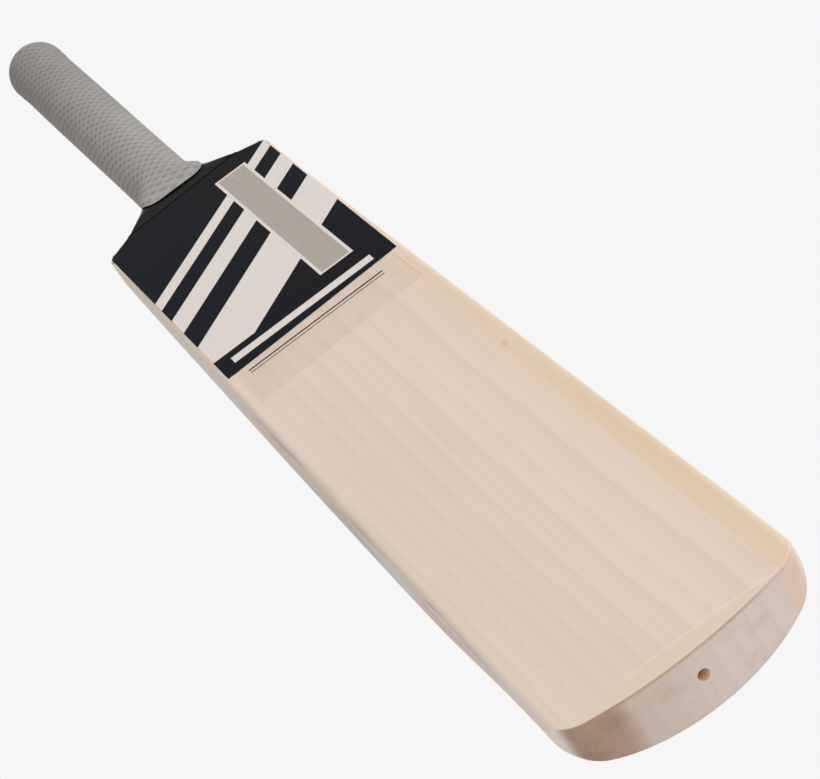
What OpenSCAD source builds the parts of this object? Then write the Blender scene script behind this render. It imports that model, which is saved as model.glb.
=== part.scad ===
// Cricket bat: willow blade, spliced and laminated cane handle, rubber grip.
// The origin is on the handle's axis, on the grip, where the bat is held.
// +Z runs up the handle, the toe hangs down, and the hitting face looks along -Y.
// Heights in this file are measured up from the lowest point of the toe.

/* [Blade] */
// Greatest width of the blade
blade_w = 108; // [104:1:108]
// Width across the shoulder corners
shoulder_w = 103; // [99:1:104]
// Mean height of the two shoulder corners
shoulder_z = 533; // [528:1:538]
// How much the +X shoulder sits above that height, and the other one below it
shoulder_lean = 4; // [0:0.5:5]
// Greatest thickness, at the swell of the spine
spine_t = 62; // [56:1:66]
// Thickness of the edges beside the swell
edge_t = 35; // [30:1:38]
// Radius of the edges of the hitting face
face_edge_r = 3; // [2:0.5:4]

/* [Toe] */
// Thickness of the toe at its middle
toe_t = 27.8; // [24:0.2:30]
// Radius of the long curve along the toe
toe_arc_r = 200; // [180:10:400]
// Radius of the toe's two corners
toe_corner_r = 11.5; // [10:0.5:18]
// Diameter of the blind hole in the toe
toe_hole_d = 5; // [4:0.5:6]
// Depth of the blind hole in the toe
toe_hole_depth = 12; // [8:1:16]

/* [Handle] */
// Overall length of the bat
bat_l = 851; // [845:1:862]
// Height at which the grip is held
hold_z = 720; // [700:5:740]
// Diameter of the bare cane handle
cane_d = 28.6; // [27:0.2:30]
// Height of the lower tip of the splice
splice_tip_z = 400; // [390:2:410]
// Thickness of the glue line in the splice
glue_t = 0.2; // [0.1:0.05:0.3]
// Thickness of each rubber spring between two cane layers
spring_t = 1.5; // [1:0.1:2]
// Thickness of the twine binding
binding_t = 0.8; // [0.6:0.1:1]

/* [Grip] */
// Thickness of the rubber at the lower end of the handle
grip_t = 2.3; // [1.8:0.1:2.6]
// Extra thickness of the rubber at the top of the handle
grip_swell = 1.2; // [0:0.1:1.5]
// Radius of the rounded top end
grip_end_r = 9; // [6:0.5:10]
// Height of the lower edge of the grip at the front and the back
grip_low_z = 549; // [545:1:554]

/* [Covers] */
// Thickness of the black shoulder wrap
wrap_t = 0.4; // [0.3:0.1:0.6]
// Thickness of the face label
label_t = 0.25; // [0.2:0.05:0.3]
// Length of the face label
label_l = 189; // [170:1:195]
// Thickness of the clear film
film_t = 0.15; // [0.1:0.05:0.2]
// Length of the clear film below the label
film_l = 36; // [20:1:40]

/* [Hidden] */
CANES = [for (layer = [1:4], strip = [1:3]) str("cane_", layer, "_", strip)];
SPRINGS = [for (n = [1:3]) str("rubber_spring_", n)];

$fn = 96;
eps = 0.01;
reach = 200;                        // longer than any section it has to cut

cane_r = cane_d / 2;
layer_t = (cane_d - 3 * spring_t) / 4;
layer_pitch = layer_t + spring_t;
strip_w = cane_d / 3;
bound_r = cane_r + binding_t;       // cane with its binding
grip_r = bound_r + grip_t;          // outside of the grip, low on the handle
grip_top_r = grip_r + grip_swell;   // outside of the grip at its top
face_y = -cane_r;                   // the hitting face is flush with the cane

throat_w = 69;                      // where the shoulder slope meets the throat
throat_z = shoulder_z + 8;
neck_mid_z = throat_z + 20;         // a station in the throat's curve
neck_top_z = throat_z + 46;         // the throat has become the round handle
blade_top_z = neck_top_z - 8;       // the willow beside the cane is cut off here
wrap_low_z = throat_z + 1;
cane_top_z = bat_l - grip_t - grip_swell;
label_low_z = wrap_low_z - label_l;

toe_blend = 75;                     // the toe's curve fades out over this height
toe_edge_t = 8.3;                   // thickness at the two ends of the toe
toe_hole_y = 12;                    // the toe hole's depth behind the face
corner_cut = 1.5;                   // how much the shoulder's corner is rounded off
throat_power = 1.3;                 // how the throat's curve leans in
hump_power = 1.15;                  // how steep the spine's hump is
half_steps = 12;                    // points across half of a section

cane_end_r = 7;                     // rounding of the cane's top end
lead_in = 0.6;                      // taper where a round piece starts above the neck
binding_gap = 4;                    // the binding starts this far above the neck
grip_straight = 60;                 // the grip starts to widen this far above the neck
tongue_r = 22;                      // the round tongue at the grip's lower end
tongue_side = 3;                    // where its sides end, above the tongue's middle
label_in = 2.4;                     // the label's corner stops short of the shoulder's
label_top_w = 40;                   // width of the label's top, under the wrap
film_w = 92;

// Thickness at the spine, as [height, thickness]
SPINE = [[0, toe_t], [60, 41], [140, 55], [230, spine_t], [320, 59], [420, 49],
    [500, 40], [throat_z, 35], [neck_mid_z, 31], [neck_top_z, cane_d]];
// Thickness at the edge of the section, as [height, thickness]
EDGE = [[0, toe_t], [60, 26.4], [140, 34], [230, edge_t], [340, 33], [440, 29],
    [500, 27], [throat_z, 28], [neck_mid_z, 29], [neck_top_z, cane_d]];
// Rounding at the back of the edge, as [height, share of the half width, depth]
BACK_ROUND = [[0, 1, toe_t - toe_edge_t], [60, 0.4, 16], [140, 0.22, 9], [440, 0.2, 8],
    [500, 0.3, 9], [throat_z, 0.75, 14], [neck_mid_z, 0.95, cane_r], [neck_top_z, 1, cane_r]];
// Rounding at the front of the edge, in the same form
FRONT_ROUND = [[0, 0.06, face_edge_r], [470, 0.06, face_edge_r], [510, 0.04, 1.5],
    [throat_z, 0.06, 2], [neck_mid_z, 0.7, 9], [neck_top_z, 1, cane_r]];

// Slope of a curve through stations, flat at both ends; c is the column read
function slope(pts, i, c) = i == 0 || i == len(pts) - 1 ? 0
    : (pts[i + 1][c] - pts[i - 1][c]) / (pts[i + 1][0] - pts[i - 1][0]);

// Value at height z of a smooth curve through stations
function at(pts, z, c = 1) =
    z <= pts[0][0] ? pts[0][c]
    : z >= pts[len(pts) - 1][0] ? pts[len(pts) - 1][c]
    : let (i = max([for (k = [0:len(pts) - 2]) if (pts[k][0] <= z) k]),
        h = pts[i + 1][0] - pts[i][0],
        t = (z - pts[i][0]) / h)
        pts[i][c] * (2 * t ^ 3 - 3 * t ^ 2 + 1)
        + slope(pts, i, c) * h * (t ^ 3 - 2 * t ^ 2 + t)
        + pts[i + 1][c] * (3 * t ^ 2 - 2 * t ^ 3)
        + slope(pts, i + 1, c) * h * (t ^ 3 - t ^ 2);

// Drop of a round edge: 0 on the flat, 1 at the very edge; u runs from 0 to 1 across
function round_off(u, share) =
    let (v = min(1, max(0, (u - 1 + share) / share))) 1 - sqrt(max(0, 1 - v ^ 2));

// Height of the spine's hump across the section: 1 in the middle, 0 at the edge
function hump(u) = (0.5 + 0.5 * cos(180 * min(1, u))) ^ hump_power;

// Half width of the throat above the shoulder slope
function throat_half(z) =
    cane_r + (throat_w / 2 - cane_r)
        * (max(0, neck_top_z - z) / (neck_top_z - throat_z)) ^ throat_power;

// Half width of the blade and throat at height z
function half_width(z) =
    z < shoulder_z - 2 ? blade_w / 2 - (blade_w - shoulder_w) / 2 * max(0, z - 60) / (shoulder_z - 60)
    : z < shoulder_z ? shoulder_w / 2 - corner_cut * ((z - shoulder_z + 2) / 2) ^ 2
    : z < throat_z ? shoulder_w / 2 - corner_cut
        - (shoulder_w / 2 - corner_cut - throat_w / 2) * (z - shoulder_z) / (throat_z - shoulder_z)
    : throat_half(z);

// How far the toe's outline rises above its lowest point at x
function toe_rise(x) = let (w = blade_w / 2, c = toe_corner_r)
    x ^ 2 / (2 * toe_arc_r) + c - sqrt(max(0, c ^ 2 - max(0, abs(x) - w + c) ^ 2));

// Height of the point at x of the section named z: the toe is curved and the shoulders lean
function point_z(x, z) = z + max(0, 1 - z / toe_blend) * toe_rise(x)
    + shoulder_lean * 2 * x / shoulder_w
        * min(1, z / shoulder_z, max(0, neck_top_z - z) / (neck_top_z - throat_z));

// One section of the blade at height z, grown outwards by d
function section(z, d = 0) =
    let (w = half_width(z),
        angles = [for (i = [-half_steps:half_steps]) 90 * i / half_steps],
        front = [for (a = angles) let (u = abs(sin(a)), x = w * sin(a))
            [(w + d) * sin(a),
            face_y - d + at(FRONT_ROUND, z, 2) * round_off(u, at(FRONT_ROUND, z)),
            point_z(x, z)]],
        back = [for (a = angles) let (u = abs(sin(a)), x = w * sin(a))
            [(w + d) * sin(a),
            face_y + d + at(EDGE, z) + (at(SPINE, z) - at(EDGE, z)) * hump(u)
                - at(BACK_ROUND, z, 2) * round_off(u, at(BACK_ROUND, z)),
            point_z(x, z)]])
    concat(front, [for (i = [len(back) - 1:-1:0]) back[i]]);

// Moves a piece drawn with its toe at zero so that the origin is where the bat is held
module held() {
    translate([0, 0, -hold_z]) children();
}

// Solid through the sections at the given heights, grown outwards by d
module lofted(heights, d = 0) {
    m = 4 * half_steps + 2;
    n = len(heights);
    points = [for (z = heights) each section(z, d)];
    sides = [for (k = [0:n - 2], i = [0:m - 1]) let (j = (i + 1) % m)
        each [[k * m + i, (k + 1) * m + i, k * m + j], [k * m + j, (k + 1) * m + i, (k + 1) * m + j]]];
    ends = [for (i = [0:2 * half_steps - 1]) let (j = m - 1 - i, top = (n - 1) * m)
        each [[i, i + 1, j], [i + 1, j - 1, j], [top + i, top + j, top + i + 1],
            [top + i + 1, top + j, top + j - 1]]];
    polyhedron(points, concat(sides, ends), convexity = 6);
}

TOE_HEIGHTS = [0, 4, 10, 18, 28, 40, 55];
SPLICE_HEIGHTS = [for (z = [390:18:500]) z];
NECK_HEIGHTS = [for (k = [0:9]) throat_z + (neck_top_z - throat_z) * k / 9];
SHOULDER_HEIGHTS = concat([shoulder_z - 10, shoulder_z - 2, shoulder_z - 1, shoulder_z],
    [for (k = [1:2]) shoulder_z + (throat_z - shoulder_z) * k / 3]);

// A shape drawn in x and z, from a depth y_from behind the face to y_to
module front_prism(y_from, y_to) {
    translate([0, face_y + y_to, 0]) rotate([90, 0, 0])
        linear_extrude(y_to - y_from) children();
}

// The V of the splice, seen from the front and grown by d
module splice_outline(d = 0) {
    polygon([[0, splice_tip_z - 8 * d], [cane_r + d, throat_z + 5],
        [cane_r + d, neck_top_z], [-cane_r - d, neck_top_z], [-cane_r - d, throat_z + 5]]);
}

// A symmetric outline seen from the front, from its [half width, height] points going up
module front_outline(points) {
    sides = [for (s = [1, -1]) [for (p = points) [s * p[0], point_z(s * p[0], p[1])]]];
    polygon([each sides[0], for (i = [len(points) - 1:-1:0]) sides[1][i]]);
}

module label_outline() {
    front_outline([[half_width(label_low_z) - face_edge_r, label_low_z],
        [shoulder_w / 2 - label_in, shoulder_z - 2],
        [throat_w / 2 - 4, wrap_low_z - 2], [label_top_w / 2, wrap_low_z]]);
}

module film_outline() {
    front_outline([[film_w / 2, label_low_z - film_l], [film_w / 2, label_low_z]]);
}

// The shallow seats for the label and the film
module cover_seats() {
    front_prism(-eps, label_t) label_outline();
    front_prism(-eps, film_t) film_outline();
}

module blade() {
    color("wheat") held() difference() {
        lofted(concat(TOE_HEIGHTS, [for (z = [75:21:380]) z], SPLICE_HEIGHTS,
            SHOULDER_HEIGHTS, [for (z = NECK_HEIGHTS) if (z < blade_top_z) z], [blade_top_z]));
        front_prism(-reach, reach) splice_outline(glue_t);
        cover_seats();
        translate([0, face_y + toe_hole_y, -1]) cylinder(d = toe_hole_d, h = toe_hole_depth + 1);
    }
}

// The handle before it is sawn into strips: a round shaft and a V-shaped splice
module handle_blank() {
    rotate_extrude() {
        polygon([[0, neck_top_z - 1], [cane_r - lead_in, neck_top_z - 1], [cane_r, neck_top_z + 1],
            [cane_r, cane_top_z - cane_end_r], [0, cane_top_z - cane_end_r]]);
        translate([0, neck_top_z - 1]) square([cane_r - cane_end_r, cane_top_z - neck_top_z + 1]);
        translate([cane_r - cane_end_r, cane_top_z - cane_end_r]) circle(r = cane_end_r);
    }
    intersection() {
        lofted(concat(SPLICE_HEIGHTS, SHOULDER_HEIGHTS, NECK_HEIGHTS));
        front_prism(-reach, reach) splice_outline();
    }
}

// One cane strip: layers count from the face to the back, strips from -X to +X
module cane(layer, strip) {
    y_from = face_y + (layer - 1) * layer_pitch - (layer == 1 ? 1 : 0);
    y_to = face_y + (layer - 1) * layer_pitch + layer_t + (layer == 4 ? reach : 0);
    color(strip == 2 ? "burlywood" : "tan") held() difference() {
        intersection() {
            handle_blank();
            translate([(strip - 2.5) * strip_w, y_from, 0]) cube([strip_w, y_to - y_from, bat_l]);
        }
        if (layer == 1) cover_seats();
    }
}

// One rubber spring, between two cane layers
module rubber_spring(n) {
    color("dimgray") held() intersection() {
        handle_blank();
        translate([-cane_r, face_y + n * layer_pitch - spring_t, 0]) cube([cane_d, spring_t, bat_l]);
    }
}

module splice_glue() {
    color("khaki") held() difference() {
        intersection() {
            lofted(concat(SPLICE_HEIGHTS, SHOULDER_HEIGHTS, NECK_HEIGHTS));
            front_prism(-reach, reach) splice_outline(glue_t);
            translate([-reach / 2, -reach / 2, 0]) cube([reach, reach, throat_z]);
        }
        front_prism(-reach, reach) splice_outline();
        cover_seats();
    }
}

module handle_binding() {
    low = neck_top_z + binding_gap;
    color("ivory") held() translate([0, 0, low]) difference() {
        cylinder(r = bound_r, h = cane_top_z - cane_end_r - 1 - low);
        translate([0, 0, -1]) cylinder(r = cane_r, h = bat_l);
    }
}

// Half outline of the grip's shaft and closed top; d shrinks it to the inside, and the lower
// end is narrower by taper
module grip_profile(d, taper = 0) {
    end_r = grip_end_r - d;
    hull() {
        translate([0, neck_top_z]) square([grip_r - d - taper, grip_straight]);
        translate([0, neck_top_z + 2]) square([grip_r - d, grip_straight]);
        translate([grip_top_r - grip_end_r, bat_l - grip_end_r]) intersection() {
            circle(r = end_r);
            square(end_r);
        }
        translate([0, bat_l - grip_end_r]) square([grip_top_r - grip_end_r, end_r]);
    }
}

// The lower end of the grip, cut to a round tongue at the front and the back
module grip_tongue_outline() {
    middle = grip_low_z + tongue_r;
    translate([0, middle]) circle(r = tongue_r);
    translate([-throat_w / 2, middle + tongue_side]) square([throat_w, neck_top_z - grip_low_z]);
}

module grip() {
    overlap = 3;
    color("gray") held() {
        rotate_extrude() difference() {
            grip_profile(0, lead_in);
            translate([0, -eps]) grip_profile(grip_t);
        }
        intersection() {
            difference() {
                lofted(concat(NECK_HEIGHTS, [neck_top_z + overlap]), binding_t + grip_t - 0.1);
                lofted(concat(NECK_HEIGHTS, [neck_top_z + overlap + 1]), wrap_t + 0.1);
            }
            front_prism(-reach, reach) grip_tongue_outline();
        }
    }
}

module shoulder_wrap() {
    color("black") held() intersection() {
        difference() {
            lofted(NECK_HEIGHTS, wrap_t);
            lofted(NECK_HEIGHTS);
        }
        translate([-reach / 2, -reach / 2, wrap_low_z]) cube([reach, reach, neck_top_z - wrap_low_z]);
    }
}

module face_label() {
    color("midnightblue") held() front_prism(0, label_t) label_outline();
}

module clear_film() {
    color("lightyellow") held() front_prism(0, film_t) film_outline();
}

blade();
for (layer = [1:4], strip = [1:3])
    cane(layer, strip);
for (n = [1:3])
    rubber_spring(n);
splice_glue();
handle_binding();
grip();
shoulder_wrap();
face_label();
clear_film();
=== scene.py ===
"""Looks of the cricket bat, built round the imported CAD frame. Shapes are worked out in millimetres,
with heights measured up from the lowest point of the toe, as in the CAD source."""

import math

import bmesh
import bpy
import numpy as np
from mathutils import Matrix, Vector


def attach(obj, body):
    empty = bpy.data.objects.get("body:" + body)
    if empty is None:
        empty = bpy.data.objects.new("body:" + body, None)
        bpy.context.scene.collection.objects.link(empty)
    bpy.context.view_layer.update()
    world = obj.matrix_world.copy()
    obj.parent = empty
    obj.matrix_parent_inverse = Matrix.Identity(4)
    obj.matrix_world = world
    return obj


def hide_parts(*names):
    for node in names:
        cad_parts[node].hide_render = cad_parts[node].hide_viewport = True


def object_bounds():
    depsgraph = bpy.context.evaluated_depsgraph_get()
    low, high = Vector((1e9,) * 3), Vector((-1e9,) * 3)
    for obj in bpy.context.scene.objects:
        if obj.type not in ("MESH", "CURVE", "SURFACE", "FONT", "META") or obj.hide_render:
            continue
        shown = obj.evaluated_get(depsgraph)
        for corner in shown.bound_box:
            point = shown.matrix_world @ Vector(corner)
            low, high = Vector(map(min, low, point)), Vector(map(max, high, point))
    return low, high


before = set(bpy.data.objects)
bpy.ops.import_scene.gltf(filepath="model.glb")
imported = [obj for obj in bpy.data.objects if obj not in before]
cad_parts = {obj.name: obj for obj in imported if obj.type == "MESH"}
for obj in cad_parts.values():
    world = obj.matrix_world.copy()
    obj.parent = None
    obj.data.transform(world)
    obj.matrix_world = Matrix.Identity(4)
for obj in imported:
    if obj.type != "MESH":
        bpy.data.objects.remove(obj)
cad_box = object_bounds()

MM = 0.001
HOLD = -cad_box[0].z / MM                    # height of the origin, where the bat is held
BAT_L = (cad_box[1].z - cad_box[0].z) / MM

# ---------------------------------------------------------------- sizes shared with the CAD source
BLADE_W, SHOULDER_W, SHOULDER_Z, SHOULDER_LEAN = 108.0, 103.0, 533.0, 4.0
SPINE_T, EDGE_T, FACE_EDGE_R, CORNER_CUT = 62.0, 35.0, 3.0, 1.5
TAPER_LOW, CORNER_H = 60, 2                  # the blade tapers from here up to its shoulder corners
TOE_T, TOE_ARC_R, TOE_CORNER_R, TOE_EDGE_T, TOE_BLEND = 27.8, 200.0, 11.5, 8.3, 75.0
HOLE_D, HOLE_DEPTH, HOLE_Y = 5.0, 12.0, 12.0
CANE_R, BINDING_T, GRIP_T, GRIP_SWELL, WRAP_T = 14.3, 0.8, 2.3, 1.2, 0.4
THROAT_W, THROAT_Z, THROAT_POWER, HUMP_POWER = 69.0, SHOULDER_Z + 8, 1.3, 1.15
NECK_MID, NECK_TOP = THROAT_Z + 20, THROAT_Z + 46
FACE_Y = -CANE_R                             # the hitting face, without the label on it
BLADE_TOP = NECK_TOP - 8
WRAP_LOW, LABEL_T, LABEL_L, LABEL_TOP_W = THROAT_Z + 1, 0.25, 189.0, 40.0
LABEL_LOW = WRAP_LOW - LABEL_L
FILM_L, FILM_T, FILM_W = 36.0, 0.15, 92.0
SPLICE_TIP, GLUE_T = 400.0, 0.2
GRIP_LOW = 549.0

SPINE = [(0, TOE_T), (60, 41), (140, 55), (230, SPINE_T), (320, 59), (420, 49),
         (500, 40), (THROAT_Z, 35), (NECK_MID, 31), (NECK_TOP, 2 * CANE_R)]
EDGE = [(0, TOE_T), (60, 26.4), (140, 34), (230, EDGE_T), (340, 33), (440, 29),
        (500, 27), (THROAT_Z, 28), (NECK_MID, 29), (NECK_TOP, 2 * CANE_R)]
BACK_SHARE = [(0, 1), (60, 0.4), (140, 0.22), (440, 0.2), (500, 0.3), (THROAT_Z, 0.75),
              (NECK_MID, 0.95), (NECK_TOP, 1)]
BACK_DEPTH = [(0, TOE_T - TOE_EDGE_T), (60, 16), (140, 9), (440, 8), (500, 9), (THROAT_Z, 14),
              (NECK_MID, CANE_R), (NECK_TOP, CANE_R)]
FRONT_SHARE = [(0, 0.06), (470, 0.06), (510, 0.04), (THROAT_Z, 0.06), (NECK_MID, 0.7),
               (NECK_TOP, 1)]
FRONT_DEPTH = [(0, FACE_EDGE_R), (470, FACE_EDGE_R), (510, 1.5), (THROAT_Z, 2), (NECK_MID, 9),
               (NECK_TOP, CANE_R)]


def through(stations, z):
    """Smooth curve through stations, flat at both ends, as in the CAD source."""
    zs, vs = (np.array(c, float) for c in zip(*stations))
    slopes = np.zeros(len(zs))
    slopes[1:-1] = (vs[2:] - vs[:-2]) / (zs[2:] - zs[:-2])
    z = np.clip(z, zs[0], zs[-1])
    i = np.clip(np.searchsorted(zs, z, side="right") - 1, 0, len(zs) - 2)
    h = zs[i + 1] - zs[i]
    t = (z - zs[i]) / h
    return (vs[i] * (2 * t**3 - 3 * t**2 + 1) + slopes[i] * h * (t**3 - 2 * t**2 + t)
            + vs[i + 1] * (3 * t**2 - 2 * t**3) + slopes[i + 1] * h * (t**3 - t**2))


def round_off(u, share):
    """Drop of a round edge: 0 on the flat, 1 at the very edge."""
    v = np.clip((u - 1 + share) / share, 0, 1)
    return 1 - np.sqrt(1 - v**2)


def smooth(x, low, high):
    """Smooth step from 0 at low to 1 at high."""
    t = np.clip((x - low) / (high - low), 0, 1)
    return t * t * (3 - 2 * t)


def throat_half(z):
    """Half the width between the throat and the top of the neck."""
    rest = np.clip((NECK_TOP - z) / (NECK_TOP - THROAT_Z), 0, 1)
    return CANE_R + (THROAT_W / 2 - CANE_R) * rest**THROAT_POWER


def half_width(z):
    """Half the blade's width at height z."""
    z = np.asarray(z, float)
    taper = BLADE_W / 2 - ((BLADE_W - SHOULDER_W) / 2 * np.maximum(0, z - TAPER_LOW)
                           / (SHOULDER_Z - TAPER_LOW))
    top = SHOULDER_W / 2 - CORNER_CUT * ((z - SHOULDER_Z + CORNER_H) / CORNER_H)**2
    rise = (z - SHOULDER_Z) / (THROAT_Z - SHOULDER_Z)
    slope = SHOULDER_W / 2 - CORNER_CUT - (SHOULDER_W / 2 - CORNER_CUT - THROAT_W / 2) * rise
    above = np.where(z < THROAT_Z, slope, throat_half(z))
    return np.where(z < SHOULDER_Z - CORNER_H, taper, np.where(z < SHOULDER_Z, top, above))


def toe_rise(x):
    """How far the toe's outline rises above its lowest point."""
    c = TOE_CORNER_R
    past = np.maximum(0, np.abs(x) - BLADE_W / 2 + c)
    return x**2 / (2 * TOE_ARC_R) + c - np.sqrt(np.maximum(0, c**2 - past**2))


def point_z(x, z):
    """Height of the point at x of the section named z: the toe is curved and the shoulders lean."""
    lean = np.minimum(z / SHOULDER_Z, np.clip((NECK_TOP - z) / (NECK_TOP - THROAT_Z), 0, 1))
    return (z + np.maximum(0, 1 - z / TOE_BLEND) * toe_rise(x)
            + SHOULDER_LEAN * 2 * x / SHOULDER_W * np.minimum(lean, 1))


def front_y(z, u, proud=0.0):
    """Front of the section named z at the share u of its half width."""
    return FACE_Y - proud + through(FRONT_DEPTH, z) * round_off(u, through(FRONT_SHARE, z))


def back_y(z, u, proud=0.0):
    """Back of the section named z at the share u of its half width."""
    hump = (0.5 + 0.5 * np.cos(np.pi * np.minimum(1, u)))**HUMP_POWER
    edge, spine = through(EDGE, z), through(SPINE, z)
    return (FACE_Y + proud + edge + (spine - edge) * hump
            - through(BACK_DEPTH, z) * round_off(u, through(BACK_SHARE, z)))


# ---------------------------------------------------------------- mesh helpers
CREASE = 35                                  # edges sharper than this many degrees stay sharp
WELD = 2e-6                                  # points nearer than this, in metres, are joined


def make_object(name, points, faces, crease=CREASE):
    """A mesh object from points in millimetres with heights above the toe."""
    co = np.array(points, float).reshape(-1, 3)
    co[:, 2] -= HOLD
    mesh = bpy.data.meshes.new(name)
    mesh.from_pydata((co * MM).tolist(), [], [list(map(int, f)) for f in faces])
    mesh.validate()
    mesh.shade_smooth()
    mesh.set_sharp_from_angle(angle=math.radians(crease))
    obj = bpy.data.objects.new(name, mesh)
    bpy.context.scene.collection.objects.link(obj)
    return obj


def ring_faces(rows, cols, start=0, flip=False):
    """Quads between rings of cols points each, the first ring starting at the point start."""
    r, c = np.meshgrid(np.arange(rows - 1), np.arange(cols), indexing="ij")
    a = start + r * cols + c
    b = start + r * cols + (c + 1) % cols
    quads = np.stack([a, b, b + cols, a + cols], -1).reshape(-1, 4)
    return (quads[:, ::-1] if flip else quads).tolist()


def outward(obj, weld=False):
    """Turns every face of a closed mesh outwards, after joining doubled points if weld is set."""
    bm = bmesh.new()
    bm.from_mesh(obj.data)
    if weld:
        bmesh.ops.remove_doubles(bm, verts=bm.verts, dist=WELD)
    bmesh.ops.recalc_face_normals(bm, faces=bm.faces)
    bm.to_mesh(obj.data)
    bm.free()


def prism(name, outline, y_from, y_to):
    """A solid drawn in x and height, from a depth y_from behind the face to y_to."""
    n = len(outline)
    points = [(x, FACE_Y + y, z) for y in (y_from, y_to) for x, z in outline]
    faces = [list(range(n)), list(range(2 * n - 1, n - 1, -1))]
    faces += [[i, i + n, (i + 1) % n + n, (i + 1) % n] for i in range(n)]
    obj = make_object(name, points, faces)
    outward(obj)
    return obj


def cut(obj, *tools):
    """Cuts the tools out of obj and removes them."""
    for tool in tools:
        m = obj.modifiers.new("cut", "BOOLEAN")
        m.operation, m.solver, m.object = "DIFFERENCE", "EXACT", tool
    bpy.context.view_layer.update()
    made = bpy.data.meshes.new_from_object(obj.evaluated_get(bpy.context.evaluated_depsgraph_get()))
    obj.modifiers.clear()
    obj.data = made
    for tool in tools:
        bpy.data.objects.remove(tool)
    obj.data.shade_smooth()
    obj.data.set_sharp_from_angle(angle=math.radians(CREASE))


# ---------------------------------------------------------------- material helper
class Look:
    """A node material. Coordinates are in millimetres, z being the height above the toe."""

    def __init__(self, name):
        self.mat = bpy.data.materials.new(name)
        self.mat.use_nodes = True
        self.tree = self.mat.node_tree
        self.tree.nodes.clear()
        self.out = self.node("ShaderNodeOutputMaterial")
        self.bsdf = self.node("ShaderNodeBsdfPrincipled")
        self.put(self.out.inputs["Surface"], self.bsdf.outputs[0])
        coords = self.node("ShaderNodeTexCoord")
        self.normal = coords.outputs["Normal"]
        scaled = self.vec("SCALE", coords.outputs["Object"], scale=1 / MM)
        self.p = self.vec("ADD", scaled, (0, 0, HOLD))
        self.x, self.y, self.z = self.split(self.p)

    def node(self, kind, **props):
        n = self.tree.nodes.new(kind)
        for k, v in props.items():
            setattr(n, k, v)
        return n

    def put(self, socket, value):
        """Links a socket to another one's value, or sets it to a number or a colour."""
        if isinstance(value, bpy.types.NodeSocket):
            self.tree.links.new(value, socket)
        elif isinstance(value, (tuple, list)) and len(value) == 3 and socket.type == "RGBA":
            socket.default_value = (*value, 1)
        else:
            socket.default_value = value

    def fill(self, node, *values):
        """Puts values into a node's first inputs and gives its first output."""
        for s, v in zip(node.inputs, values):
            self.put(s, v)
        return node.outputs[0]

    def math(self, op, a, b=0.0):
        return self.fill(self.node("ShaderNodeMath", operation=op), a, b)

    def chain(self, op, values):
        total = values[0]
        for value in values[1:]:
            total = self.math(op, total, value)
        return total

    def add(self, *values):
        return self.chain("ADD", values)

    def most(self, *values):
        return self.chain("MAXIMUM", values)

    def times(self, *values):
        return self.chain("MULTIPLY", values)

    def sub(self, a, b):
        return self.math("SUBTRACT", a, b)

    def swing(self, value, amount):
        """A value of 0 to 1 spread evenly either side of 0, over amount in all."""
        return self.times(self.sub(value, 0.5), amount)

    def vec(self, op, a, b=None, scale=None):
        n = self.node("ShaderNodeVectorMath", operation=op)
        self.put(n.inputs[0], a)
        if b is not None:
            self.put(n.inputs[1], b)
        if scale is not None:
            self.put(n.inputs["Scale"], scale)
        return n.outputs["Value"] if op == "LENGTH" else n.outputs[0]

    def split(self, v):
        n = self.node("ShaderNodeSeparateXYZ")
        self.put(n.inputs[0], v)
        return n.outputs[0], n.outputs[1], n.outputs[2]

    def join(self, x, y, z):
        return self.fill(self.node("ShaderNodeCombineXYZ"), x, y, z)

    def step(self, value, low, high, out_low=0.0, out_high=1.0):
        """Smooth step of value between low and high."""
        return self.fill(self.node("ShaderNodeMapRange", interpolation_type="SMOOTHSTEP"),
                         value, low, high, out_low, out_high)

    def band(self, value, low, high, soft):
        """1 between low and high, fading to 0 over soft on both sides."""
        return self.times(self.step(value, low - soft, low + soft),
                          self.step(value, high - soft, high + soft, 1.0, 0.0))

    def noise(self, scale=1.0, stretch=(1, 1, 1), detail=3.0, rough=0.5, w=0.0):
        """Noise of about one period per 1/scale mm; values near 0 to 1. w picks one of many."""
        n = self.node("ShaderNodeTexNoise", noise_dimensions="4D")
        self.put(n.inputs["Vector"], self.vec("MULTIPLY", self.p, stretch))
        self.put(n.inputs["W"], w)
        self.put(n.inputs["Scale"], scale)
        self.put(n.inputs["Detail"], detail)
        self.put(n.inputs["Roughness"], rough)
        return n.outputs["Fac"]

    def cells(self, feature, stretch):
        """Distance in a cell pattern of one cell per 1/stretch mm."""
        n = self.node("ShaderNodeTexVoronoi", feature=feature)
        self.put(n.inputs["Vector"], self.vec("MULTIPLY", self.p, stretch))
        self.put(n.inputs["Scale"], 1.0)
        return n.outputs["Distance"]

    def mix(self, fac, a, b):
        """Colour a where fac is 0, and b where it's 1."""
        n = self.node("ShaderNodeMix", data_type="RGBA")
        self.put(n.inputs["Factor"], fac)
        self.put(n.inputs[6], a)
        self.put(n.inputs[7], b)
        return n.outputs[2]

    def ramp(self, fac, stops):
        """Grey value of fac, from stops of position and grey value."""
        n = self.node("ShaderNodeValToRGB")
        elements = n.color_ramp.elements
        while len(elements) < len(stops):
            elements.new(0.5)
        for element, (position, grey) in zip(elements, stops):
            element.position = position
            element.color = (grey, grey, grey, 1)
        self.put(n.inputs[0], fac)
        return n.outputs[0]

    def bump(self, height, distance, strength):
        """height in the unit of distance, which is in millimetres."""
        n = self.node("ShaderNodeBump")
        self.put(n.inputs["Height"], height)
        self.put(n.inputs["Distance"], distance * MM)
        self.put(n.inputs["Strength"], strength)
        self.put(self.bsdf.inputs["Normal"], n.outputs[0])

    def finish(self, **sockets):
        for name, value in sockets.items():
            self.put(self.bsdf.inputs[name.replace("_", " ")], value)
        return self.mat


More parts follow.
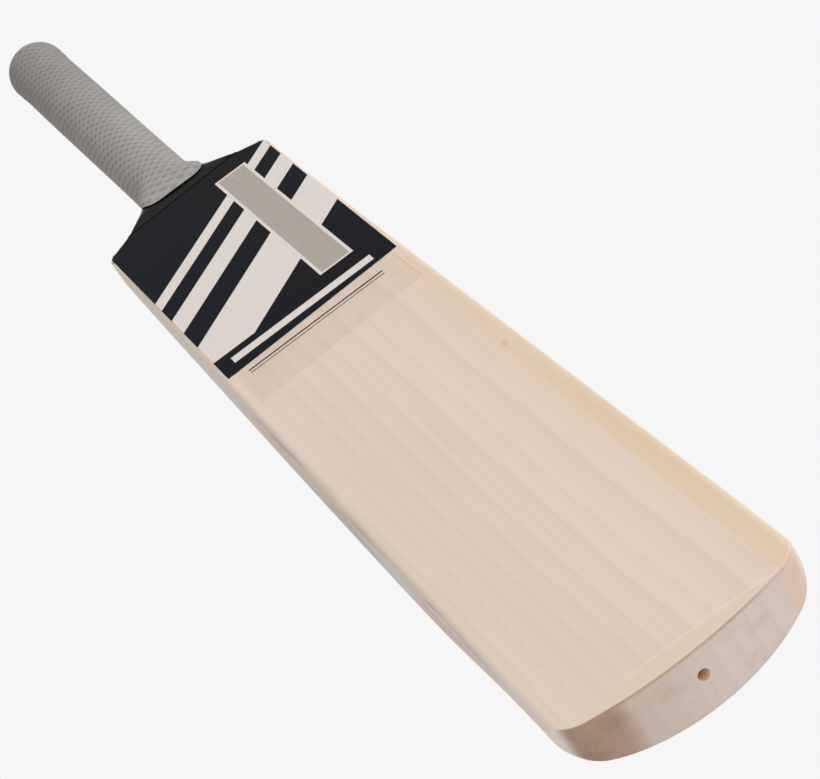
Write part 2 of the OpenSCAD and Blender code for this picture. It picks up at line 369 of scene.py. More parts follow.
def srgb(r, g, b):
    """Linear colour of an sRGB one given in 0 to 255."""
    def one(v):
        v /= 255
        return v / 12.92 if v <= 0.04045 else ((v + 0.055) / 1.055)**2.4
    return one(r), one(g), one(b)


# ---------------------------------------------------------------- materials
RING_GAP, RING_LEAN = 8.2, 0.135             # growth rings, and their lean from face to back
KNOT = (45, FACE_Y, 231)                     # middle of the small knot


def growth_rings(k):
    """Ring lines, 0 on a line and 1 away from it, and a random tone for each ring."""
    wander = k.swing(k.noise(0.011, (1, 1, 0.32), 2.0), 16.0)
    jitter = k.swing(k.noise(0.09, (1, 1, 0.12), 3.0, w=3), 1.6)
    across = k.add(k.sub(k.x, k.times(k.y, RING_LEAN)), k.add(wander, jitter))
    crowd = k.node("ShaderNodeTexNoise", noise_dimensions="1D")
    k.put(crowd.inputs["W"], k.times(across, 0.05))
    k.put(crowd.inputs["Scale"], 1.0)
    rings = k.add(k.math("DIVIDE", across, RING_GAP), k.times(crowd.outputs["Fac"], 1.5))
    line = k.ramp(k.math("FRACT", rings),
                  [(0.0, 0.62), (0.08, 0.9), (0.2, 1.0), (0.55, 0.72), (0.8, 0.42), (0.93, 0.12),
                   (0.97, 0.0), (1.0, 0.55)])
    each = k.node("ShaderNodeTexWhiteNoise", noise_dimensions="1D")
    k.put(each.inputs["W"], k.math("FLOOR", rings))
    return line, each.outputs["Value"]


def long_grain(k, line, tone, fibre):
    """Wood of the face, the back and the sides."""
    cloud = k.noise(0.02, (1, 1, 0.45), 3.0, w=7)
    fleck = k.add(k.times(line, 0.55), k.times(fibre, 0.55), k.swing(tone, 0.3),
                  k.swing(cloud, 0.7))
    wood = k.mix(k.step(fleck, 0.1, 1.05), srgb(215, 198, 181), srgb(221, 205, 190))
    # warm heartwood streak down the +X edge, stronger towards the toe
    at_edge = k.add(k.x, k.swing(k.noise(0.03, (1, 1, 0.2), 4.0, w=9), 7.0))
    warm = k.times(k.step(at_edge, 38.5, 46), k.step(k.z, 0, 420, 1.0, 0.62))
    streaks = k.noise(1.0, (0.22, 0.22, 0.004), 3.0, 0.6, w=10)
    warm = k.times(warm, k.step(streaks, 0.25, 0.7, 0.75, 1.0))
    heart = k.mix(k.step(streaks, 0.35, 0.75), srgb(221, 198, 170), srgb(218, 190, 154))
    wood = k.mix(warm, wood, heart)
    # a small faint knot near that edge
    knot = k.vec("LENGTH", k.vec("MULTIPLY", k.vec("SUBTRACT", k.p, KNOT), (0.5, 0.2, 0.28)))
    wood = k.mix(k.step(knot, 0.2, 1.0, 0.55, 0.0), wood, srgb(190, 163, 133))
    # paler sides, with grey brown streaks on the -X one in the middle of the blade
    nx, ny, _ = k.split(k.normal)
    wood = k.mix(k.step(k.math("ABSOLUTE", nx), 0.5, 0.8, 0.0, 0.7), wood, srgb(233, 221, 210))
    side = k.times(k.step(nx, -0.45, -0.8), k.band(k.z, 70, 330, 50))
    mark = k.noise(1.0, (0.5, 0.16, 0.02), 5.0, 0.7, w=12)
    wood = k.mix(k.times(side, k.step(mark, 0.4, 0.62, 0.1, 0.7)), wood, srgb(188, 172, 162))
    # the rolled facet above the toe, with a painted highlight along its upper edge
    on_face = k.step(ny, -0.5, -0.9)
    edge_z = k.sub(9.0, k.times(k.x, k.add(0.045, k.times(k.x, 0.0014))))
    below = k.times(k.step(k.sub(edge_z, k.z), -1.0, 4.0), on_face)
    wood = k.mix(k.times(below, 0.7), wood, srgb(218, 198, 178))
    off = k.math("ABSOLUTE", k.sub(k.z, edge_z))
    # painted highlight: a light line where the facet's upper edge catches the light
    painted_edge_highlight = k.times(k.step(off, 0.1, 0.7, 0.28, 0.0), k.band(k.x, -24, 42, 5))
    return k.mix(k.times(painted_edge_highlight, on_face), wood, srgb(238, 226, 214))


def end_grain(k, line):
    """Wood of the toe's end."""
    pores = k.noise(1.0, (2.2, 2.2, 2.2), 3.0, 0.7, w=14)
    rays = k.noise(1.0, (0.25, 3.0, 0.5), 3.0, 0.6, w=15)
    grain = k.add(k.times(line, 0.16), k.add(k.times(pores, 0.45), k.times(rays, 0.3)))
    wood = k.mix(k.step(grain, 0.15, 0.9), srgb(208, 192, 182), srgb(226, 213, 204))
    # painted shade: the toe's end is darker towards -X, away from the light
    wood = k.mix(k.step(k.x, -32, 14, 0.55, 0.0), wood, srgb(196, 176, 160))
    # brown at the -X end and warm at the other, with a few stains
    blot = k.add(k.x, k.swing(k.noise(0.1, detail=4.0, w=16), 8))
    brown = k.mix(k.step(k.noise(0.09, detail=2.0, w=17), 0.25, 0.75),
                  srgb(146, 115, 99), srgb(179, 145, 123))
    wood = k.mix(k.step(blot, -25, -35, 0.0, 0.85), wood, brown)
    wood = k.mix(k.step(blot, 39, 44, 0.0, 0.75), wood, srgb(222, 192, 170))
    stain = k.noise(0.07, (1, 1.4, 1), 4.0, 0.6, w=18)
    wood = k.mix(k.step(stain, 0.52, 0.72, 0.0, 0.45), wood, srgb(196, 170, 148))
    # short drying cracks
    where = k.times(k.step(k.noise(0.16, detail=2.0, w=19), 0.58, 0.64), k.band(k.x, 31, 41, 2))
    crack = k.step(k.cells("DISTANCE_TO_EDGE", (0.09, 0.22, 0.1)), 0.0, 0.02, 0.8, 0.0)
    wood = k.mix(k.times(crack, where), wood, srgb(128, 98, 78))
    # painted shade: a darker line just past the ridge between face and toe, where the surface turns
    # away from the face, weaker towards +X
    depth = k.sub(k.y, FACE_Y)
    rim = k.step(k.add(depth, k.times(k.noise(0.3, w=20), 1.2)), 1.3, 3.0, 0.75, 0.0)
    return k.mix(k.times(rim, k.step(k.x, 44, 20, 0.25, 1.0)), wood, srgb(178, 148, 112))


def willow():
    k = Look("willow")
    line, tone = growth_rings(k)
    fibre = k.noise(1.0, (1.3, 1.3, 0.016), 4.0, 0.65, w=5)
    fine = k.noise(1.0, (4.0, 4.0, 0.05), 2.0, 0.6, w=6)
    on_end = k.step(k.split(k.normal)[2], -0.45, -0.75)
    colour = k.mix(on_end, long_grain(k, line, tone, fibre), end_grain(k, line))
    # painted light: the inside of the drilled hole is lighter and warmer, in place of the light
    # falling on its wall
    from_axis = k.vec("LENGTH", k.join(k.x, k.sub(k.y, FACE_Y + HOLE_Y), 0.0))
    painted_hole_light = k.times(k.step(from_axis, HOLE_D / 2 + 0.1, HOLE_D / 2 + 0.25, 1.0, 0.0),
                     k.step(k.z, 0.1, 0.5))
    colour = k.mix(k.times(painted_hole_light, 0.9), colour, srgb(250, 214, 182))
    k.bump(k.add(k.times(fibre, 0.6), k.times(fine, 0.3), k.times(line, 0.25)), 0.06, 0.6)
    return k.finish(Base_Color=colour, Roughness=k.step(fibre, 0.2, 0.8, 0.5, 0.42),
                    Specular_IOR_Level=0.45)


def cane(tint):
    """One of several close shades of cane, a higher tint being darker."""
    k = Look(f"cane_{tint}")
    fibre = k.noise(1.0, (1.8, 1.8, 0.02), 4.0, 0.7, w=tint)
    dots = k.step(k.cells("F1", (1.1, 1.1, 0.06)), 0.12, 0.34, 1.0, 0.0)
    base = k.mix(k.step(fibre, 0.25, 0.75), srgb(196, 158, 104), srgb(222, 192, 140))
    base = k.mix(k.times(dots, 0.6), base, srgb(128, 88, 50))
    shade = 0.04 * tint
    base = k.mix(k.step(k.noise(0.03, w=tint + 4), 0.3, 0.7, shade, 0.16 + shade),
                 base, srgb(150, 104, 60))
    k.bump(fibre, 0.08, 0.6)
    return k.finish(Base_Color=base, Roughness=k.step(fibre, 0.2, 0.8, 0.6, 0.45),
                    Specular_IOR_Level=0.4)


def spring_rubber():
    k = Look("spring_rubber")
    speck = k.noise(2.2, detail=3.0, rough=0.7)
    base = k.mix(k.step(speck, 0.35, 0.7), srgb(34, 32, 31), srgb(66, 62, 58))
    k.bump(speck, 0.06, 0.5)
    return k.finish(Base_Color=base, Roughness=k.step(speck, 0.3, 0.7, 0.7, 0.85))


def glue():
    k = Look("glue")
    cloud = k.noise(0.5, detail=4.0)
    base = k.mix(cloud, srgb(150, 104, 58), srgb(196, 160, 104))
    k.bump(cloud, 0.05, 0.5)
    return k.finish(Base_Color=base, Roughness=k.step(cloud, 0.3, 0.7, 0.3, 0.45))


def twine():
    k = Look("twine")
    thread_w = 0.9
    turn = k.math("FRACT", k.add(k.math("DIVIDE", k.z, thread_w), k.noise(0.2, w=2)))
    thread = k.sub(1.0, k.math("ABSOLUTE", k.sub(k.times(turn, 2), 1)))
    fuzz = k.noise(4.0, (1, 1, 0.4), 3.0, 0.7)
    base = k.mix(k.step(thread, 0.05, 0.6), srgb(150, 136, 112), srgb(226, 214, 190))
    base = k.mix(k.times(fuzz, 0.3), base, srgb(180, 166, 140))
    k.bump(k.add(thread, k.times(fuzz, 0.3)), 0.3, 0.8)
    return k.finish(Base_Color=base, Roughness=k.step(fuzz, 0.3, 0.7, 0.7, 0.9))


def grip_rubber():
    k = Look("grip_rubber")
    cloud = k.noise(0.06, (1, 1, 0.5), 3.0, w=1)
    grainy = k.noise(3.0, detail=4.0, rough=0.7, w=2)
    dust = k.noise(0.5, detail=4.0, rough=0.65, w=3)
    base = k.mix(k.step(cloud, 0.3, 0.7), srgb(151, 147, 144), srgb(158, 154, 151))
    base = k.mix(k.step(dust, 0.45, 0.75, 0.0, 0.35), base, srgb(168, 164, 161))
    # painted shade in the pits between the raised cells, and painted highlight on the raised cells
    raised = k.node("ShaderNodeAttribute", attribute_name="relief").outputs["Fac"]
    base = k.mix(k.step(raised, 0.55, 0.0, 0.0, 0.45), base, srgb(104, 101, 97))
    base = k.mix(k.step(raised, 0.7, 1.0, 0.0, 0.3), base, srgb(172, 169, 163))
    # hands darken the upper part
    base = k.mix(k.step(k.z, 600, 850, 0.0, 0.3), base, srgb(96, 92, 89))
    k.bump(grainy, 0.05, 0.5)
    return k.finish(Base_Color=base, Roughness=k.step(dust, 0.3, 0.7, 0.62, 0.74),
                    Specular_IOR_Level=0.35)


def wrap_tape():
    k = Look("wrap_tape")
    cloud = k.noise(0.12, detail=4.0, w=1)
    scuff = k.noise(1.0, (0.4, 0.4, 2.4), 4.0, 0.7, w=2)
    base = k.mix(cloud, srgb(12, 11, 10), srgb(20, 19, 18))
    base = k.mix(k.step(scuff, 0.66, 0.82, 0.0, 0.3), base, srgb(52, 48, 45))
    k.bump(cloud, 0.3, 0.4)
    return k.finish(Base_Color=base, Roughness=k.step(scuff, 0.3, 0.8, 0.2, 0.34),
                    Specular_IOR_Level=0.08)


# the label's plain design, with heights above its lower edge
SLANT = math.radians(38)                     # the bands rise towards +X
BANDS = ((30, 62), (78, 92), (104, 112))     # their reach, along the normal of the slant
BANDS_LOW = 18                               # they stop here, above the pale bar
TAUPE_BAR, OUTLINE = (17, 33, 26, 172), 1.6  # from x, to x, from height, to height
PALE_BAR = (-42, 38, 6, 12)
SOFT = 0.18                                  # half the width of an edge between two colours


def label_vinyl():
    """Navy label with slanted pale bands, an outlined taupe bar and a pale bar below them."""
    k = Look("label_vinyl")
    cloud = k.noise(0.03, detail=3.0, w=1)
    # painted reflection: the navy turns near black between x 6 and 40, standing in for the lamps'
    # reflection on the glossy label
    navy_with_reflection = k.mix(k.band(k.add(k.x, k.times(cloud, 6)), 6, 40, 4),
                 srgb(23, 26, 33), srgb(26, 26, 28))
    fibre = k.noise(1.0, (2.0, 2.0, 0.05), 3.0, 0.6, w=2)
    weave = k.step(fibre, 0.3, 0.7)
    pale = k.mix(weave, srgb(216, 206, 200), srgb(222, 212, 206))
    taupe = k.mix(weave, srgb(166, 157, 148), srgb(174, 165, 156))

    def bar(x0, x1, low, high, grow=0.0):
        return k.times(k.band(k.x, x0 - grow, x1 + grow, SOFT),
                       k.band(k.z, LABEL_LOW + low - grow, LABEL_LOW + high + grow, SOFT))

    along = k.add(k.times(k.sub(k.z, LABEL_LOW), math.cos(SLANT)), k.times(k.x, -math.sin(SLANT)))
    bands = k.most(*(k.band(along, low, high, SOFT) for low, high in BANDS))
    bands_low = LABEL_LOW + BANDS_LOW
    colour = k.mix(k.times(bands, k.step(k.z, bands_low - 0.2, bands_low + 0.2)), navy_with_reflection, pale)
    colour = k.mix(bar(*TAUPE_BAR, grow=OUTLINE), colour, pale)
    colour = k.mix(bar(*TAUPE_BAR), colour, taupe)
    colour = k.mix(bar(*PALE_BAR), colour, pale)
    wear = k.step(k.noise(1.2, (1, 1, 0.3), 4.0, 0.7, w=4), 0.62, 0.8, 0.0, 0.12)
    colour = k.mix(wear, colour, srgb(120, 116, 114))
    ripple = k.noise(0.05, (1, 1, 0.35), 3.0, w=5)
    k.bump(k.add(ripple, k.times(fibre, 0.02)), 0.5, 0.35)
    return k.finish(Base_Color=colour, Roughness=k.step(cloud, 0.3, 0.7, 0.2, 0.28),
                    Specular_IOR_Level=0.03)


RULES = ((-8, -7.1), (-10.6, -10.2))         # their reach above the label's lower edge
RULES_X = (-40, 36)


def clear_film():
    """Clear protective film: the wood shows through it, with a thin double rule printed on it."""
    k = Look("clear_film")
    cloud = k.noise(0.08, detail=3.0)
    tint = k.mix(cloud, srgb(210, 195, 180), srgb(216, 201, 187))
    rules = k.most(*(k.band(k.z, LABEL_LOW + low, LABEL_LOW + high, 0.1) for low, high in RULES))
    rules = k.times(rules, k.band(k.x, *RULES_X, 0.2))
    colour = k.mix(rules, tint, srgb(52, 38, 34))
    alpha = k.most(rules, k.step(cloud, 0.2, 0.8, 0.04, 0.07))
    k.bump(k.noise(0.1, detail=3.0, w=4), 0.1, 0.3)
    return k.finish(Base_Color=colour, Alpha=alpha, Roughness=k.step(cloud, 0.2, 0.8, 0.2, 0.26),
                    Specular_IOR_Level=0.3)


# ---------------------------------------------------------------- label and film
LABEL_IN = 1.0                               # nearer to the shoulder's edge than in the CAD source
LABEL_CORNER_IN, LABEL_CORNER_DROP = 0.3, 1.3  # of its upper corners, from the throat's edge
COVER_GAP, COVER_LIFT = 0.05, 0.01           # all round a sheet in its seat, and below it


def front_outline(points):
    """A symmetric outline seen from the front, from its (half width, height) points going up."""
    both = [(w, z) for w, z in points] + [(-w, z) for w, z in reversed(points)]
    return [(float(x), float(point_z(x, z))) for x, z in both]


def label_outline(gap=0.0):
    return front_outline([(half_width(LABEL_LOW) - FACE_EDGE_R - gap, LABEL_LOW + gap),
                          (SHOULDER_W / 2 - LABEL_IN - gap, SHOULDER_Z - CORNER_H),
                          (THROAT_W / 2 - LABEL_CORNER_IN, WRAP_LOW - LABEL_CORNER_DROP - gap),
                          (LABEL_TOP_W / 2, WRAP_LOW - gap)])


def film_outline(gap=0.0):
    return front_outline([(FILM_W / 2 - gap, LABEL_LOW - FILM_L + gap),
                          (FILM_W / 2 - gap, LABEL_LOW - gap)])


def make_cover(name, outline, thickness, proud, bevel):
    """A thin sheet lying in its seat, standing a hair proud, with eased edges."""
    obj = prism(name, outline, -proud, thickness - COVER_LIFT)
    m = obj.modifiers.new("ease", "BEVEL")
    m.width, m.segments = bevel * MM, 2
    m.limit_method, m.angle_limit = "ANGLE", math.radians(50)
    return obj


# ---------------------------------------------------------------- blade
RIDGE_R, BACK_R = 0.45, 1.6                  # easing of the toe's ends, at the face and at the back
FACE_COLS, SIDE_COLS = 96, 3                 # quads across the face, points down each side
TOE_ROWS, TOP_ROWS = 14, 2                   # strips across the toe's end and the neck's top
FACET_X = [-50, -25, 0, 14, 26, 36, 41, 54]  # the rolled facet above the toe: its upper edge
FACET_TOP = [10.0, 9.8, 9.0, 8.1, 6.9, 5.3, 4.6, 4.6]
FACET_ROLL = 0.065                           # and its slope
DRILL_TIP, DRILL_TIP_R, DRILL_SIDES = 1.4, 0.3, 40
GLUE_AT_TIP = 8 * GLUE_T                     # glue below the splice's tip, along the blade
SLOT_REACH = (-20, 80)                       # the V runs from before the face to behind the back


def toe_facet(x):
    """Height of the upper edge of the rolled facet, and its share of the full roll."""
    return np.interp(x, FACET_X, FACET_TOP), smooth(x, -46, -20) * smooth(x, 46, 34)


def blade_rings():
    """Closed rings of points up the blade, each with its front first, then +X, back and -X."""
    a = np.linspace(-math.pi / 2, math.pi / 2, FACE_COLS + 1)
    u, sa = np.abs(np.sin(a)), np.sin(a)
    down_side = (np.arange(SIDE_COLS) + 1) / (SIDE_COLS + 1)
    # the toe's eased ends, then rings that are close together at the toe and round the shoulders
    stages = [(RIDGE_R * (1 - math.sin(t)), RIDGE_R * (1 - math.cos(t)),
               BACK_R * (1 - math.cos(t))) for t in np.radians([90, 60, 30, 0])]
    near = SHOULDER_Z - 4
    spans = [(1.2, 14, 0.8), (14, 76, 2.5), (76, 380, 6.0), (380, near - 12, 4.0),
             (near - 12, near, 2.0), (near, THROAT_Z + 2, 0.5), (THROAT_Z + 2, BLADE_TOP, 2.5)]
    heights = np.concatenate([np.arange(*span) for span in spans] + [[BLADE_TOP]])
    stages += [(h, 0.0, 0.0) for h in heights]
    rings = []
    for h, front_in, back_in in stages:
        x = half_width(h) * sa
        z = point_z(x, h)
        top, share = toe_facet(x)
        yf = front_y(h, u) + front_in + FACET_ROLL * share * np.maximum(0, top - z)
        yb = back_y(h, u) - back_in
        front, back = np.stack([x, yf, z], -1), np.stack([x, yb, z], -1)
        right = front[-1] + (back[-1] - front[-1]) * down_side[:, None]
        left = back[0] + (front[0] - back[0]) * down_side[:, None]
        rings.append(np.concatenate([front, right, back[::-1], left]))
    return rings


def make_blade():
    rings = blade_rings()
    m, nf = len(rings[0]), FACE_COLS + 1
    points = np.concatenate(rings)
    faces = ring_faces(len(rings), m)
    # the toe's end and the neck's top: strips from the front line to the back line
    for ring, strips, flip in ((0, TOE_ROWS, True), (len(rings) - 1, TOP_ROWS, False)):
        front = ring * m + np.arange(nf)
        back = ring * m + 2 * nf + SIDE_COLS - 1 - np.arange(nf)
        rows = [front]
        for c in range(1, strips):
            t = c / strips
            new = points[front] * (1 - t) + points[back] * t
            if ring == 0:
                new[:, 2] = toe_rise(new[:, 0])
            rows.append(len(points) + np.arange(nf))
            points = np.concatenate([points, new])
        rows.append(back)
        for r0, r1 in zip(rows[:-1], rows[1:]):
            for i in range(nf - 1):
                quad = (r0[i], r0[i + 1], r1[i + 1], r1[i])
                faces.append(quad[::-1] if flip else quad)
    obj = make_object("willow_blade", points, faces)
    outward(obj, weld=True)
    # the V for the splice, the seats of the label and film, and the hole in the toe
    r, above = CANE_R + GLUE_T, 5
    slot = [(0, SPLICE_TIP - GLUE_AT_TIP), (r, THROAT_Z + above), (r, NECK_TOP + above),
            (-r, NECK_TOP + above), (-r, THROAT_Z + above)]
    cut(obj, prism("v_slot", slot, *SLOT_REACH), prism("label_seat", label_outline(), -1, LABEL_T),
        prism("film_seat", film_outline(), -1, FILM_T), make_drill())
    return obj


def make_drill():
    """The drill that makes the toe's hole, with a short conical tip."""
    n = DRILL_SIDES
    points = []
    for z, r in ((-1.0, HOLE_D / 2), (HOLE_DEPTH - DRILL_TIP, HOLE_D / 2),
                 (HOLE_DEPTH, DRILL_TIP_R)):
        points += [(r * math.cos(2 * math.pi * i / n),
                    FACE_Y + HOLE_Y + r * math.sin(2 * math.pi * i / n), z) for i in range(n)]
    obj = make_object("drill", points, ring_faces(3, n) + [range(n), range(2 * n, 3 * n)])
    outward(obj)
    return obj


# ---------------------------------------------------------------- grip
CELLS, ROW = 17, 3.85                        # raised cells in a row, and height of a row
CELL_COLS, GRIP_ROWS, WALL_ROWS = 15, 560, 40  # the mesh: columns in a cell, rows out and in
GRIP_R = CANE_R + BINDING_T + GRIP_T
END_R = 9.0                                  # rounding of the top end
END_DISH, END_MID_R = 0.5, 0.6               # hollow of the flat end, and its innermost ring
RIM_RISE = 31                                # the lower end is this much higher at the sides
TUCK, TUCK_H = 1.5, 7                        # and is drawn in this much, over this height
CELL_H, CELL_MEAN = 0.42, 0.6                # height of the relief, and its middle as a share
INNER_IN = 1.9                               # from the outside to the inside wall


def grip_radius(z):
    """Outside radius of the shaft: slowly thicker upwards, with a knob and a bead at the top."""
    bead = 0.3 * np.exp(-((z - BAT_L + END_R) / 1.3)**2)
    return GRIP_R - 0.15 + 0.83 * smooth(z, 600, 800) + 0.44 * smooth(z, 818, 834) + bead


def grip_skin(phi, z, inset=0.0):
    """Point on the grip's outside without relief; phi is 0 at the front and 90 degrees at +X."""
    u = np.abs(np.sin(phi))
    x = throat_half(z) * np.sin(phi)
    y = np.where(np.cos(phi) > 0, front_y(z, u), back_y(z, u))
    scale = 1 + (grip_radius(z) - CANE_R - inset) / np.hypot(x, y)
    return x * scale, y * scale


def relief(phi, z):
    """0 in the pits to 1 on the raised cells, which stand in staggered rows."""
    row = z / ROW
    lean = 0.05 * np.sin(2 * np.pi * row)
    wave = np.cos(CELLS * phi + lean * 2 * np.pi) * np.cos(np.pi * row)
    body = 0.5 + 0.5 * np.tanh(1.9 * (wave + 0.28))
    pit = np.exp(-((1 + wave) / 0.42)**2)
    return np.clip(body - 0.35 * pit, 0, 1)


def make_grip():
    cols = CELLS * CELL_COLS
    phi = np.arange(cols) / cols * 2 * np.pi
    rim = GRIP_LOW + RIM_RISE * np.abs(np.sin(phi))**4
    top = BAT_L - END_R

    def ring(r, z):
        return np.stack([r * np.sin(phi), -r * np.cos(phi), np.full(cols, z)], -1)[None]

    # the shaft with its relief, which fades out at both ends, and the tucked lower edge
    z = rim + (top - rim) * np.linspace(0, 1, GRIP_ROWS)[:, None]
    turn = np.broadcast_to(phi, z.shape)
    x, y = grip_skin(turn, z)
    amount = smooth(z - rim, 0.3, 2.5) * smooth(top + 0.5 - z, 0, 4)
    raised = relief(turn, z) - CELL_MEAN
    out = CELL_H * raised * amount - TUCK * smooth(TUCK_H - z + rim, 0, TUCK_H)
    length = np.hypot(x, y)
    x, y = x * (1 + out / length), y * (1 + out / length)
    rows, shades = [np.stack([x, y, z], -1)], [CELL_MEAN + raised * amount]
    # rounded top and flat end
    r_top = float(grip_radius(np.array(top)))
    r_flat = r_top - END_R
    for angle in np.radians(np.arange(6, 91, 6)):
        rows.append(ring(r_flat + END_R * math.cos(angle), top + END_R * math.sin(angle)))
        shades.append(np.full((1, cols), 0.55))
    for r in np.linspace(r_flat, END_MID_R, 7)[1:]:
        rows.append(ring(r, BAT_L - END_DISH * (1 - (r / r_flat)**2)))
        shades.append(np.full((1, cols), 0.5))
    outer, shade = np.concatenate(rows), np.concatenate(shades)
    # rolled lower lip, then the inside wall up to the top
    wall_h = BAT_L - GRIP_T - GRIP_SWELL - rim
    levels = [(rim - 0.08, rim, 1.55), (rim - 0.12, rim, 1.7), (rim - 0.08, rim, 1.85)]
    levels += [(rim + wall_h * s, rim + wall_h * s, INNER_IN)
               for s in np.linspace(0.01, 1, WALL_ROWS)]
    inner = np.stack([np.stack([*grip_skin(phi, at, inset), z], -1) for z, at, inset in levels])
    n_out, n_in = len(outer), len(inner)
    start = n_out * cols
    faces = ring_faces(n_out, cols) + ring_faces(n_in, cols, start, flip=True)
    faces += [(i, start + i, start + (i + 1) % cols, (i + 1) % cols) for i in range(cols)]
    faces += [range(start - cols, start), range(start + (n_in - 1) * cols, start + n_in * cols)]
    points = np.concatenate([outer.reshape(-1, 3), inner.reshape(-1, 3)])
    obj = make_object("rubber_grip", points, faces, crease=70)
    outward(obj)
    # the relief share, which the grip's material turns into painted shade in the pits and painted
    # highlight on the cells
    values = np.concatenate([shade.ravel(), np.full(n_in * cols, 0.5)])
    attr = obj.data.attributes.new("relief", "FLOAT", "POINT")
    attr.data.foreach_set("value", values.astype(np.float32))
    return obj


# ---------------------------------------------------------------- shoulder wrap
WRAP_COLS, WRAP_STEP, WRAP_TOP = 180, 0.6, NECK_TOP - 6
WRAP_LAP = 2                                 # over the top edge of the label
WRAP_LIFT = 0.02                             # inside of the tape, off the wood
FOLDS, FOLD_SEED = 9, 7
FOLD_H, FOLD_IN = 0.22, 0.15                 # size of a fold, and how far it may go inwards


def make_wrap():
    """Black tape over the throat, with small folds where it is pulled round the flare."""
    a = np.linspace(-math.pi / 2, math.pi / 2, WRAP_COLS + 1)
    sa, u = np.sin(a), np.abs(np.sin(a))
    heights = np.concatenate([np.arange(WRAP_LOW - WRAP_LAP, WRAP_TOP, WRAP_STEP), [WRAP_TOP]])
    rng = np.random.default_rng(FOLD_SEED)
    folds = [(rng.uniform(0, 2 * np.pi), rng.uniform(9, 34), rng.uniform(-0.5, 0.5))
             for _ in range(FOLDS)]
    outer, inner = [], []
    for z in heights:
        w = float(half_width(z))
        for proud, store in ((WRAP_T, outer), (WRAP_LIFT, inner)):
            front = np.stack([(w + proud) * sa, front_y(z, u, proud)], -1)
            back = np.stack([(w + proud) * sa, back_y(z, u, proud)], -1)
            loop = np.concatenate([front, back[::-1]])
            store.append(np.concatenate([loop, point_z(loop[:, :1], z)], 1))
    outer, inner = np.array(outer), np.array(inner)
    rows, m = outer.shape[:2]
    turn, z = np.arctan2(outer[..., 0], -outer[..., 1]), outer[..., 2]
    bulge = sum(np.sin(waves * turn + slope * z + phase) for phase, waves, slope in folds) / 5
    visible = smooth(z, WRAP_LOW + 1, WRAP_LOW + 4) * smooth(z, 566, 558)
    push = np.maximum(FOLD_H * np.clip(bulge, -1.2, 1.5) * visible, -FOLD_IN)
    outwards = outer * (1, 1, 0)
    outwards /= np.maximum(np.linalg.norm(outwards, axis=-1, keepdims=True), 1e-6)
    outer = outer + outwards * push[..., None]
    start = rows * m
    faces = ring_faces(rows, m) + ring_faces(rows, m, start, flip=True)
    for base, flip in ((0, True), ((rows - 1) * m, False)):
        for i in range(m):
            j = (i + 1) % m
            quad = (base + i, base + j, start + base + j, start + base + i)
            faces.append(quad[::-1] if flip else quad)
    points = np.concatenate([outer.reshape(-1, 3), inner.reshape(-1, 3)])
    obj = make_object("throat_wrap", points, faces, crease=60)
    outward(obj, weld=True)
    return obj


# ---------------------------------------------------------------- camera
SENSOR, LENS = 36, 112.85                    # millimetres
CAMERA_AT = (-0.12461, -0.57226, -1.39261)   # metres
CAMERA_RIGHT, CAMERA_UP = (0.7907, 0.46854, -0.39404), (0.60073, -0.71784, 0.3519)
CAMERA_BACK = (-0.11797, -0.51496, -0.84906)


def link(name, data):
    obj = bpy.data.objects.new(name, data)
    bpy.context.scene.collection.objects.link(obj)
    return obj


cam = link("camera", bpy.data.cameras.new("camera"))
cam.data.sensor_width, cam.data.lens = SENSOR, LENS
cam.data.clip_start, cam.data.clip_end = 0.05, 60
cam.matrix_world = (Matrix.Translation(CAMERA_AT)
                    @ Matrix((CAMERA_RIGHT, CAMERA_UP, CAMERA_BACK)).transposed().to_4x4())
bpy.context.scene.camera = cam

# ---------------------------------------------------------------- the pieces
pieces = [(make_blade(), willow, "blade", "willow"),
          (make_grip(), grip_rubber, "grip", "grip_rubber"),
          (make_wrap(), wrap_tape, "shoulder_wrap", "wrap_tape"),
          (make_cover("front_label", label_outline(COVER_GAP), LABEL_T, 0.1, 0.06),
           label_vinyl, "face_label", "label_vinyl"),
          (make_cover("label_film", film_outline(COVER_GAP), FILM_T, 0.04, 0.04),
           clear_film, "clear_film", "clear_film")]
for obj, look, node, slot in pieces:
    obj.data.materials.clear()
    obj.data.materials.append(look())
    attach(obj, "root")
    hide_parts(node)

# the hidden pieces are the CAD's own, neighbouring canes in different shades
canes = [cane(tint) for tint in range(4)]
rubber = spring_rubber()
hidden = {"splice_glue": glue(), "handle_binding": twine()}
for name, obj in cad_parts.items():
    if name.startswith("cane_"):
        layer, strip = (int(number) for number in name.split("_")[1:])
        mat = canes[(2 * layer + strip) % len(canes)]
    elif name.startswith("rubber_spring"):
        mat = rubber
    elif name in hidden:
        mat = hidden[name]
    else:
        continue
    if not obj.material_slots:
        obj.data.materials.append(mat)
    for s in obj.material_slots:
        s.link = "OBJECT"
        s.material = mat

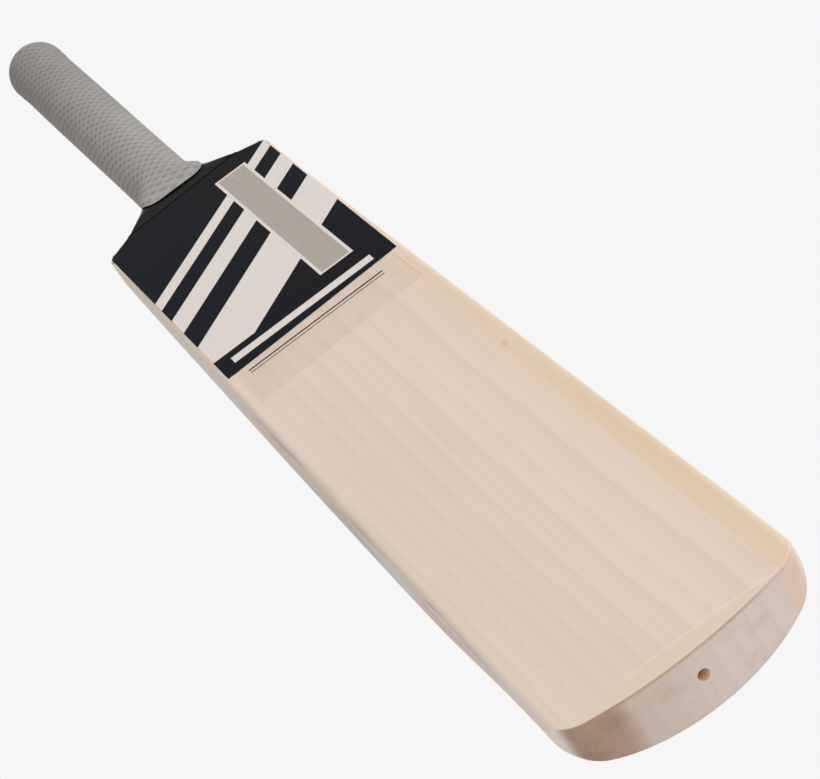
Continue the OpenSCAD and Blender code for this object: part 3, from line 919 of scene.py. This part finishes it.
# ---------------------------------------------------------------- world, lights and floor
BACKDROP, WORLD_LIGHT = srgb(246, 246, 246), 0.44
CENTRE = (0, 0, -0.29)
LIGHTS = (("key", (1.7, -2.3, 0.3), CENTRE, 1.6, 47),  # name, place, target, size in m, power in W
          ("front_fill", (-0.3, -2.6, -1.2), CENTRE, 1.8, 10),
          ("toe_fill", (1.1, 0.12, -1.42), (0, 0, -0.7), 0.9, 7),
          ("side_fill", (-1.3, 0.0, -0.75), (0, 0, -0.5), 1.0, 3),
          ("back_fill", (-0.6, 2.6, 0.6), CENTRE, 2.0, 30))
FLOOR_Z, FLOOR_R, FLOOR_SIDES = -1.55, 14.0, 96
FADE_FROM, FADE_TO = 1200, 5000              # the floor fades into the backdrop, in millimetres

world = bpy.data.worlds.new("world")
bpy.context.scene.world = world
world.use_nodes = True
nodes, links = world.node_tree.nodes, world.node_tree.links
nodes.clear()
out, mixed, path = (nodes.new("ShaderNode" + kind)
                    for kind in ("OutputWorld", "MixShader", "LightPath"))
seen, lit = nodes.new("ShaderNodeBackground"), nodes.new("ShaderNodeBackground")
seen.inputs[0].default_value = (*BACKDROP, 1)
lit.inputs[0].default_value = (1, 0.99, 0.98, 1)
lit.inputs[1].default_value = WORLD_LIGHT
links.new(path.outputs["Is Camera Ray"], mixed.inputs[0])
links.new(lit.outputs[0], mixed.inputs[1])
links.new(seen.outputs[0], mixed.inputs[2])
links.new(mixed.outputs[0], out.inputs[0])

for name, where, target, size, power in LIGHTS:
    data = bpy.data.lights.new(name, "AREA")
    data.shape, data.size, data.energy = "DISK", size, power
    obj = link(name, data)
    obj.location = where
    obj.rotation_euler = (Vector(target) - obj.location).to_track_quat("-Z", "Y").to_euler()
    obj.visible_camera = False


def floor_paper():
    """Pale paper that fades out far from the bat, so that the floor has no visible edge."""
    k = Look("floor_paper")
    away = k.step(k.vec("LENGTH", k.join(k.x, k.y, 0.0)), FADE_FROM, FADE_TO)
    clear = k.node("ShaderNodeBsdfTransparent")
    k.put(k.out.inputs["Surface"],
          k.fill(k.node("ShaderNodeMixShader"), away, k.bsdf.outputs[0], clear.outputs[0]))
    return k.finish(Base_Color=(0.86, 0.86, 0.86), Roughness=0.9)


floor_mesh = bpy.data.meshes.new("floor")
bm = bmesh.new()
bmesh.ops.create_circle(bm, cap_ends=True, radius=FLOOR_R, segments=FLOOR_SIDES)
bm.to_mesh(floor_mesh)
bm.free()
floor = link("floor", floor_mesh)
floor.location = (0, 0, FLOOR_Z)
floor_mesh.materials.append(floor_paper())

bpy.context.scene.view_settings.view_transform = "Standard"
bpy.context.scene.view_settings.look = "None"
